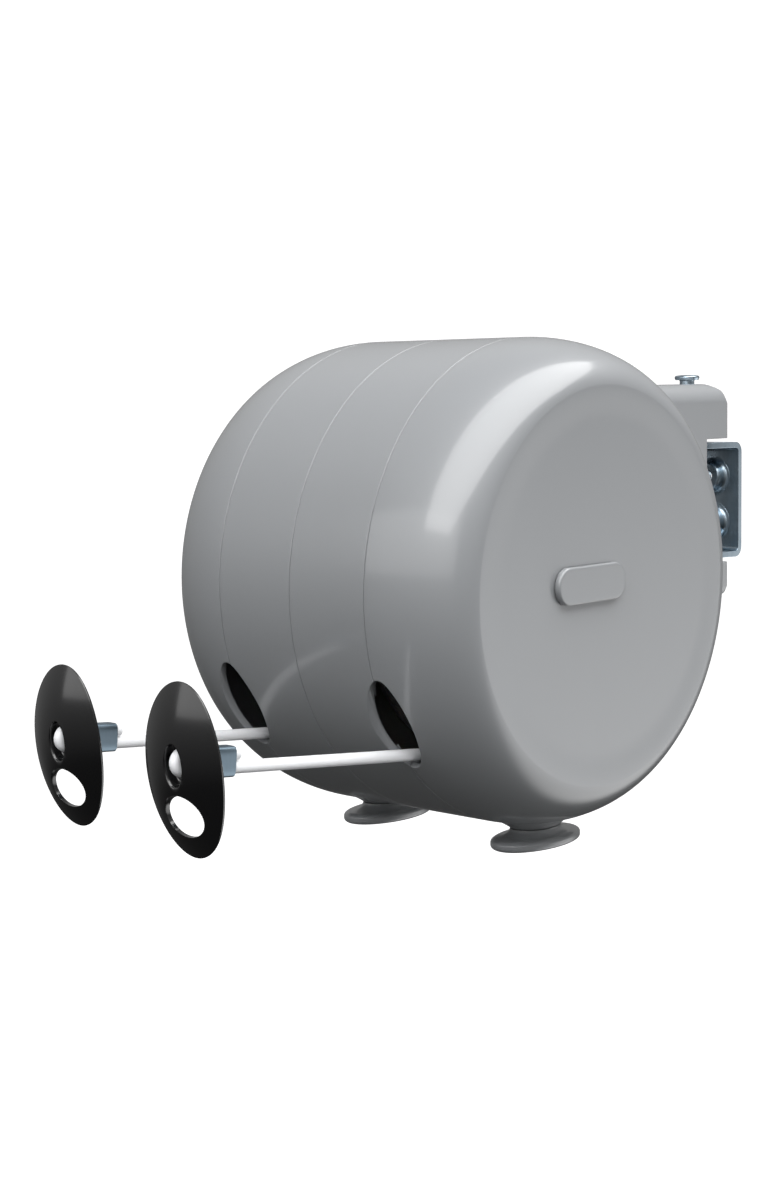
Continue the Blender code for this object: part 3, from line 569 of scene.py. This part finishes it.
def make_cleat(name, side):
    """Oval mushroom with a soft rim, a coved neck and its round stem."""
    foot, top = CLEAT_LOW.z - CENTRE.z, CLEAT_NECK_TOP - GAP
    width, length = (CLEAT_HIGH.x - CLEAT_LOW.x) / 2, (CLEAT_HIGH.y - CLEAT_LOW.y) / 2
    rings = []
    for angle in range(-90, 1, 10):
        inset = 0.0026 * (1 - math.cos(math.radians(angle)))
        rings.append((foot + 0.0015 * (1 + math.sin(math.radians(angle))), width - inset, length - inset))
    for angle in range(0, 71, 10):
        inset = 0.0036 * (1 - math.cos(math.radians(angle)))
        rings.append((foot + 0.0026 + 0.0016 * math.sin(math.radians(angle)), width - inset, length - inset))
    shoulder, half_width, half_length = rings[-1]
    for angle in range(9, 82, 9):
        inward = math.sin(math.radians(angle))
        level = shoulder + (top - shoulder) * (1 - math.cos(math.radians(angle)))
        across = half_width + (CLEAT_NECK[0] - half_width) * inward
        rings.append((level, across, half_length + (CLEAT_NECK[1] - half_length) * inward))
    rings.append((top, *CLEAT_NECK))
    place = shift(side * REEL.x, CENTRE.y, CENTRE.z)
    cleat = loft(f"cleat_{name}", rings, place, "casing")
    stem = [(0, -0.0846), (CLEAT_FLANGE, -0.0846), (CLEAT_FLANGE, -0.0864), (CLEAT_STEM, -0.0864)]
    stem += [(CLEAT_STEM, top - 0.001), (0, top - 0.001)]
    boolean(cleat, "UNION", lathe(f"stem_{name}", stem, place, steps=48))
    finish_surface(cleat)
    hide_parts(f"line_cleat_{name}")
    return cleat


def make_badge(name, side):
    """A plain pill, crowned and with soft edges."""
    length, height = BADGE_HIGH.y - BADGE_LOW.y, BADGE_HIGH.z - BADGE_LOW.z
    middle = (BADGE_LOW + BADGE_HIGH) / 2
    thick = BADGE_HIGH.x - BADGE_LOW.x
    bm = bmesh.new()
    loops = []
    for i in range(13):
        share = i / 12
        inset = 0.0015 * (1 - math.sqrt(1 - share**2))
        level = thick * (0.35 + 0.65 * math.sin(share * math.pi / 2))
        loops.append(pill_loop(bm, length, height, inset, level))
    for inset in (0.0030, 0.0050):
        loops.append(pill_loop(bm, length, height, inset, thick))
    base = pill_loop(bm, length, height, 0, 0)
    for lower, upper in zip([base, *loops], loops):
        for i in range(len(lower)):
            j = (i + 1) % len(lower)
            bm.faces.new((lower[i], lower[j], upper[j], upper[i]))
    bm.faces.new(base)
    bm.faces.new(loops[-1])
    turn = Matrix(((0, 0, side, 0), (1, 0, 0, 0), (0, 1, 0, 0), (0, 0, 0, 1)))
    badge = add(f"badge_{name}", bm, "casing", place=shift(side * BADGE_LOW.x, middle.y, middle.z) @ turn)
    finish_surface(badge, 40)
    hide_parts(f"end_badge_{name}")
    return badge


def pill_loop(bm, length, height, inset, level):
    """A closed round-ended outline, brought in by inset."""
    radius = height / 2 - inset
    straight = (length - height) / 2
    half = arc((straight, 0), (radius, radius), -90, 90, 24)
    outline = half + [(-x, -y) for x, y in half]
    return [bm.verts.new((x, y, level)) for x, y in outline]


# Bracket and pin ---------------------------------------------------------------------------------


def add_screw_boss(bracket, label, place):
    """A raised boss with its screw hole, and a ring pressed in behind it."""
    boss = [(0, 0.0073)] + arc((0.0050, 0.0060), (0.0013, 0.0013), 90, 10, 6)
    boss += arc((0.0088, 0.0044), (0.0021, 0.0018), 180, 268, 7)
    boss += [(0.0088, PLATE - 0.0005), (0, PLATE - 0.0005)]
    boolean(bracket, "UNION", lathe(f"boss_{label}", boss, place, steps=64))
    ring = [(0.0032, -0.002), (0.0034, 0.0030), (0.0048, 0.0030), (0.0054, -0.002)]
    hole = [(0, 0.02), (0.0030, 0.02), (0.0030, 0.0074), (0.0024, 0.0068), (0.0024, -0.002), (0, -0.002)]
    ring_cutter = lathe(f"dish_{label}", ring, place, closed=True, steps=64)
    boolean(bracket, "DIFFERENCE", ring_cutter, lathe(f"hole_{label}", hole, place, steps=48))


def make_bracket():
    """U channel from sheet, its ears rounded about the pin, with two pressed screw bosses."""
    half_width, half_height, front = BRACKET_HIGH.x, BRACKET_HIGH.z, PIN.y - EAR_RADIUS
    plate, bend = PLATE, BRACKET_BEND
    points = [(front - 0.001, half_height)]
    points += arc((-bend, half_height - bend), (bend, bend), 90, 0, 12)
    points += arc((-bend, bend - half_height), (bend, bend), 0, -90, 12)
    points += [(front - 0.001, -half_height), (front - 0.001, plate - half_height)]
    points += arc((-bend, bend - half_height), (bend - plate, bend - plate), -90, 0, 8)
    points += arc((-bend, half_height - bend), (bend - plate, bend - plate), 0, 90, 8)
    points.append((front - 0.001, half_height - plate))
    to_yz = Matrix(((0, 0, 1, 0), (1, 0, 0, 0), (0, 1, 0, 0), (0, 0, 0, 1)))
    bracket = extrude("bracket", points, -0.03, 0.03, to_yz, "zinc")
    plan = [(half_width, 0.001), (half_width, -bend)]
    plan += arc((0, PIN.y), (EAR_RADIUS, EAR_RADIUS), 0, -180, 32)
    plan += [(-half_width, -bend), (-half_width, 0.001)]
    boolean(bracket, "INTERSECT", extrude("plan", plan, -0.05, 0.05, Matrix.Identity(4)))
    for label, level in SCREW_LEVELS.items():
        add_screw_boss(bracket, label, shift(0, 0, level) @ spin("X", math.pi / 2))
    bore = lathe("bracket_bore", bore_profile(PIN_BORE, 0.04), shift(0, PIN.y, 0), steps=64)
    boolean(bracket, "DIFFERENCE", bore)
    finish_surface(bracket)
    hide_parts("wall_bracket")
    return bracket


def make_pin():
    """Pan head with a small flat on top, a plain shank and a chamfered tip."""
    top, tip = PIN_HIGH.z, PIN_LOW.z
    head, shank = (PIN_HIGH.x - PIN_LOW.x) / 2, PIN_RADIUS
    profile = [(0, top), (0.0026, top)]
    profile += arc((head - 0.0011, top - 0.0011), (0.0011, 0.0009), 75, -20, 8)
    profile += [(head - 0.0004, top - 0.0022), (shank + 0.0003, top - 0.0022), (shank, top - 0.0025)]
    profile += [(shank, tip + 0.0015), (shank - 0.0010, tip), (0, tip)]
    pin = lathe("pin", profile, shift(PIN.x, PIN.y, 0), "zinc", steps=64)
    finish_surface(pin)
    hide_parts("hinge_pin")
    return pin


# Lines and handles -------------------------------------------------------------------------------


def line_frame(name):
    """Below the drum's axis on the line, with -Y out along the line and +Z square to it."""
    rise = math.atan2(PULL[name].z, -PULL[name].y)
    side = SIDES[name]
    return shift(side * REEL.x, CENTRE.y, CENTRE.z) @ spin("X", -rise) @ shift(0, 0, -LINE_LEVEL)


def line_points(name):
    """The line's middle, as the CAD tube runs: out of the slot, round the handle's bridge and back."""
    out = HANDLE_OUT[name]
    bend = out + LOOP_REACH
    half = LOOP_SPACING / 2
    steps = 40
    points = [(0, -(LINE_START + (bend - LINE_START) * i / steps), 0) for i in range(steps + 1)]
    for i in range(1, 17):
        angle = math.pi * i / 16
        points.append((0, -(bend + half * math.sin(angle)), half - half * math.cos(angle)))
    front, back = out - FERRULE_BEHIND + FERRULE_LENGTH, out - TAIL_BEHIND
    for i in range(1, 9):
        share = i / 8
        ease = share * share * (3 - 2 * share)
        away = bend - 0.002 + (front - bend + 0.002) * share
        points.append((0, -away, LOOP_SPACING + (TAIL_SPACING - LOOP_SPACING) * ease))
    points.append((0, -(front + back) / 2, TAIL_SPACING))
    points.append((0, -back, TAIL_SPACING))
    place = line_frame(name)
    return [place @ Vector(point) for point in points]


def make_line(name):
    points = line_points(name)
    line = tube(f"line_{name}", points, LINE / 2, "line")
    line.data.set_sharp_from_angle(angle=math.radians(50))
    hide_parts(f"pull_line_{name}")
    return line, points


def handle_place(name):
    rise = math.atan2(PULL[name].z, -PULL[name].y)
    facing_out = spin("X", rise + HANDLE_TILT + math.pi / 2)
    return line_frame(name) @ shift(0, -HANDLE_OUT[name], -HANDLE_DROP) @ facing_out


def handle_rings():
    """A low parabolic front, a thin round edge and a hollow back."""
    width, length = HANDLE_SIZE
    rings = []
    for i in range(1, 25):
        share = math.sin(math.pi / 2 * i / 24)
        rings.append((0.0002 * share + HANDLE_DOME * (1 - share**2), share))
    rings += [(-0.0002, 0.999), (-0.0005, 0.994), (-0.0007, 0.986), (-0.0009, 0.974), (-0.0009, 0.955)]
    for i in range(20, 0, -1):
        share = math.sin(math.pi / 2 * i / 21)
        rings.append(((HANDLE_DOME - HANDLE_SHEET) * (1 - share**2), 0.94 * share))
    return [(height, share * width, share * length) for height, share in rings]


def bow_back(handle, seat):
    """Sets the handle's upper and lower ends back a little."""
    to_seat = seat.inverted()
    for vert in handle.data.vertices:
        local = to_seat @ vert.co
        local.z -= HANDLE_BOW * (local.y / HANDLE_SIZE[1]) ** 2
        vert.co = seat @ local


def recess_rings():
    """A rounded floor, straight walls and a bell-shaped lip."""
    rings = [(0.0010, 0.84, 0), (0.0012, 0.91, 0), (0.0016, 0.96, 0), (0.0022, 1.0, 0)]
    for angle in range(0, 91, 10):
        out = 0.0010 * (1 - math.cos(math.radians(angle)))
        rings.append((0.0034 + 0.0013 * math.sin(math.radians(angle)), 1.0, out))
    rings.append((0.0080, 1.0, 0.0014))
    return [(height, RECESS[0] * share + out, RECESS[1] * share + out) for height, share, out in rings]


def make_handle(name):
    """Domed oval grip with a recess for the line's loop and a finger hole."""
    seat = handle_place(name)
    handle = loft(f"handle_{name}", handle_rings(), seat, "black", steps=128)
    bow_back(handle, seat)
    at_loop = seat @ shift(0, HANDLE_DROP + LOOP_SPACING / 2, 0)
    hub = [(-0.0046, 0.0050, 0.0078), (-0.0043, 0.0052, 0.0080), (HANDLE_DOME - 0.0016, 0.0060, 0.0090)]
    boolean(handle, "UNION", loft(f"hub_{name}", hub, at_loop))
    grip = []
    for height, out in ((-0.01, 0), (0.0020, 0), (0.0026, 0.0001), (0.0060, 0.0012)):
        grip.append((height, FINGER_HOLE[0] + out, FINGER_HOLE[1] + out))
    recess = loft(f"recess_{name}", recess_rings(), at_loop)
    hole = loft(f"grip_{name}", grip, seat @ shift(*FINGER_HOLE_PLACE, 0))
    boolean(handle, "DIFFERENCE", recess, hole)
    passage = tube(f"passage_{name}", line_points(name)[30:64], LINE / 2 + 0.00025, None)
    boolean(handle, "DIFFERENCE", passage)
    finish_surface(handle, 32)
    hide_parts(f"pull_handle_{name}")
    return handle


def make_ferrule(name):
    """Pressed sleeve with nearly square corners and slightly rolled ends."""
    middle = HANDLE_OUT[name] - FERRULE_BEHIND + FERRULE_LENGTH / 2
    place = line_frame(name) @ shift(0, -middle, TAIL_SPACING / 2) @ spin("X", math.pi / 2)
    half, roll = FERRULE_LENGTH / 2, 0.0005
    rings = []
    for turned in range(90, -1, -15):
        inset = roll * (1 - math.cos(math.radians(turned)))
        rings.append((-half + roll * (1 - math.sin(math.radians(turned))), inset))
    rings += [(-level, inset) for level, inset in reversed(rings)]
    rings = [(level, FERRULE_SIZE[0] - inset, FERRULE_SIZE[1] - inset) for level, inset in rings]
    ferrule = loft(f"sleeve_{name}", rings, place, "sleeve", power=5)
    hole = [(-0.01, 0.0023, 0.00445), (0.01, 0.0023, 0.00445)]
    boolean(ferrule, "DIFFERENCE", loft(f"sleeve_hole_{name}", hole, place, power=3.5))
    finish_surface(ferrule)
    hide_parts(f"ferrule_{name}")
    return ferrule


def make_wound_line(name, side):
    """Three layers of turns on the reel, laid side by side as one winding."""
    low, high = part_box(f"wound_line_{name}")
    half_span = (high.x - low.x) / 2 - LINE / 2
    middle = (high.x + low.x) / 2
    outer = (high.z - low.z) / 2 - LINE / 2
    step = LINE * 0.88
    turns = int(2 * half_span / LINE)
    points = []
    for layer in range(3):
        radius = outer - step * (2 - layer)
        direction = 1 if layer % 2 == 0 else -1
        for i in range(turns * 28):
            share = i / (turns * 28)
            angle = math.tau * turns * share + math.tau * turns * layer
            x = middle + direction * half_span * (2 * share - 1)
            y, z = CENTRE.y + radius * math.cos(angle), CENTRE.z + radius * math.sin(angle)
            points.append(Vector((x, y, z)))
    winding = tube(f"winding_{name}", points, LINE / 2 * 0.97, "line", steps=8)
    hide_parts(f"wound_line_{name}")
    return winding


# Stage -------------------------------------------------------------------------------------------


def plain_material(name, colour, glow):
    made = bpy.data.materials.new(name)
    made.use_nodes = True
    shader = made.node_tree.nodes["Principled BSDF"]
    shader.inputs["Base Color"].default_value = (*colour, 1)
    shader.inputs["Roughness"].default_value = 0.9
    shader.inputs["Emission Color"].default_value = (1, 1, 1, 1)
    shader.inputs["Emission Strength"].default_value = glow
    return made


def make_stage():
    """A pale floor and a pale surround that light nothing themselves."""
    floor_mesh = bmesh.new()
    bmesh.ops.create_circle(floor_mesh, cap_ends=True, segments=96, radius=5.0)
    floor = add("floor", floor_mesh, smooth=False, place=shift(0, 0, -0.55))
    surround_mesh = bmesh.new()
    bmesh.ops.create_uvsphere(surround_mesh, u_segments=64, v_segments=32, radius=6.0)
    surround = add("surround", surround_mesh)
    floor.data.materials.append(plain_material("pale_floor", (0.85, 0.85, 0.85), 0.75))
    surround.data.materials.append(plain_material("pale_surround", (0.2, 0.2, 0.2), 1.1))
    for obj in (floor, surround):
        obj.visible_diffuse = False
        obj.visible_glossy = False
        obj.visible_shadow = False


def make_world():
    """A soft room, brightest part of the way up, with a low glow behind the right end."""
    world = bpy.data.worlds.new("studio")
    bpy.context.scene.world = world
    world.use_nodes = True
    nodes, links = world.node_tree.nodes, world.node_tree.links
    direction = nodes.new("ShaderNodeTexCoord").outputs["Generated"]
    split = nodes.new("ShaderNodeSeparateXYZ")
    links.new(direction, split.inputs["Vector"])
    lift = nodes.new("ShaderNodeMapRange")
    lift.inputs["From Min"].default_value = -1
    links.new(split.outputs["Z"], lift.inputs["Value"])
    ramp = nodes.new("ShaderNodeValToRGB")
    links.new(lift.outputs["Result"], ramp.inputs["Fac"])
    low, high = ramp.color_ramp.elements
    low.position, low.color = 0.30, (0.07, 0.07, 0.07, 1)
    high.position, high.color = 0.99, (0.45, 0.45, 0.46, 1)
    ramp.color_ramp.elements.new(0.83).color = (1.0, 1.0, 1.0, 1)
    toward = nodes.new("ShaderNodeVectorMath")
    toward.operation = "DOT_PRODUCT"
    toward.inputs[1].default_value = Vector((0.51, 0.68, -0.53)).normalized()
    links.new(direction, toward.inputs[0])
    lobe = nodes.new("ShaderNodeMapRange")
    lobe.interpolation_type = "SMOOTHSTEP"
    lobe.inputs["From Min"].default_value = math.cos(math.radians(35))
    lobe.inputs["From Max"].default_value = math.cos(math.radians(14))
    lobe.inputs["To Max"].default_value = LOW_GLOW / WORLD_STRENGTH
    links.new(toward.outputs["Value"], lobe.inputs["Value"])
    both_parts = nodes.new("ShaderNodeVectorMath")
    links.new(ramp.outputs["Color"], both_parts.inputs[0])
    links.new(lobe.outputs["Result"], both_parts.inputs[1])
    links.new(both_parts.outputs["Vector"], nodes["Background"].inputs["Color"])
    nodes["Background"].inputs["Strength"].default_value = WORLD_STRENGTH


def softbox(name, place, target, size, radiance):
    """An area light that looks equally bright whatever its size."""
    light = bpy.data.lights.new(name, "AREA")
    light.shape = "RECTANGLE"
    light.size, light.size_y = size
    light.energy = radiance * math.pi * size[0] * size[1]
    lamp = bpy.data.objects.new(name, light)
    lamp.location = place
    lamp.rotation_euler = (Vector(target) - Vector(place)).to_track_quat("-Z", "Y").to_euler()
    bpy.context.scene.collection.objects.link(lamp)


def make_lights():
    """A long panel overhead to the right, and a dimmer one across the front."""
    over = CENTRE + Vector((0.64, -0.50, 1.0))
    softbox("overhead", over, over - Vector((0, 0, 1)), (1.20, 3.20), OVERHEAD)
    softbox("front", CENTRE + Vector((0.05, -1.25, 0.45)), CENTRE, (2.4, 0.65), FRONT)


def make_camera():
    """From the drum's right front, slightly above, as far away as about eight drum radii."""
    data = bpy.data.cameras.new("camera")
    data.sensor_fit = "HORIZONTAL"
    data.sensor_width = 36.0
    data.lens = 91.27
    data.clip_start = 0.01
    data.clip_end = 30.0
    camera = bpy.data.objects.new("camera", data)
    azimuth, elevation, roll = math.radians(42.63), math.radians(-6.285), math.radians(-0.955)
    turn = spin("Z", azimuth) @ spin("X", math.pi / 2 + elevation) @ spin("Z", roll)
    camera.matrix_world = Matrix.Translation(CENTRE + RADIUS * Vector((5.4748, -6.3667, 0.8333))) @ turn
    bpy.context.scene.collection.objects.link(camera)
    bpy.context.scene.camera = camera


# Everything together -----------------------------------------------------------------------------


def carried_over(names, finish):
    for name in names:
        node = frame["nodes"][name]
        node.data.materials.clear()
        node.data.materials.append(materials[finish])
        node.data.shade_smooth()
        node.data.set_sharp_from_angle(angle=math.radians(30))


def both(prefix):
    return [f"{prefix}_{name}" for name in SIDES]


def make_inside():
    carried_over(["hinge_washer", "centre_divider"] + both("reel_drum") + both("reel_flange"), "nylon")
    carried_over(["axle"] + [f"shell_screw_{i}" for i in range(1, 5)], "zinc")
    carried_over(both("axle_ring") + both("spring_arbor") + both("mainspring"), "spring_steel")
    carried_over(both("inner_bush") + both("outer_bush"), "black")
    for node in frame["nodes"].values():
        if not node.hide_render:
            bevel = round_edges(node, 0.0003, 2).modifiers["Round"]
            bevel.use_clamp_overlap = True


def main():
    bpy.context.scene.view_settings.view_transform = "Standard"
    make_materials()
    make_camera()
    make_lights()
    make_world()
    make_stage()
    lines = {name: make_line(name) for name in SIDES}
    for name, side in SIDES.items():
        line, points = lines[name]
        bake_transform(line)
        for make in (make_end_cap, make_centre_shell, make_cleat, make_badge):
            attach(make(name, side), "casing")
        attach(make_handle(name), f"line_{name}")
        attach(make_ferrule(name), f"line_{name}")
        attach(make_wound_line(name, side), f"reel_{name}")
    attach(make_bracket(), "bracket")
    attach(make_pin(), "hinge_pin")
    make_inside()


main()
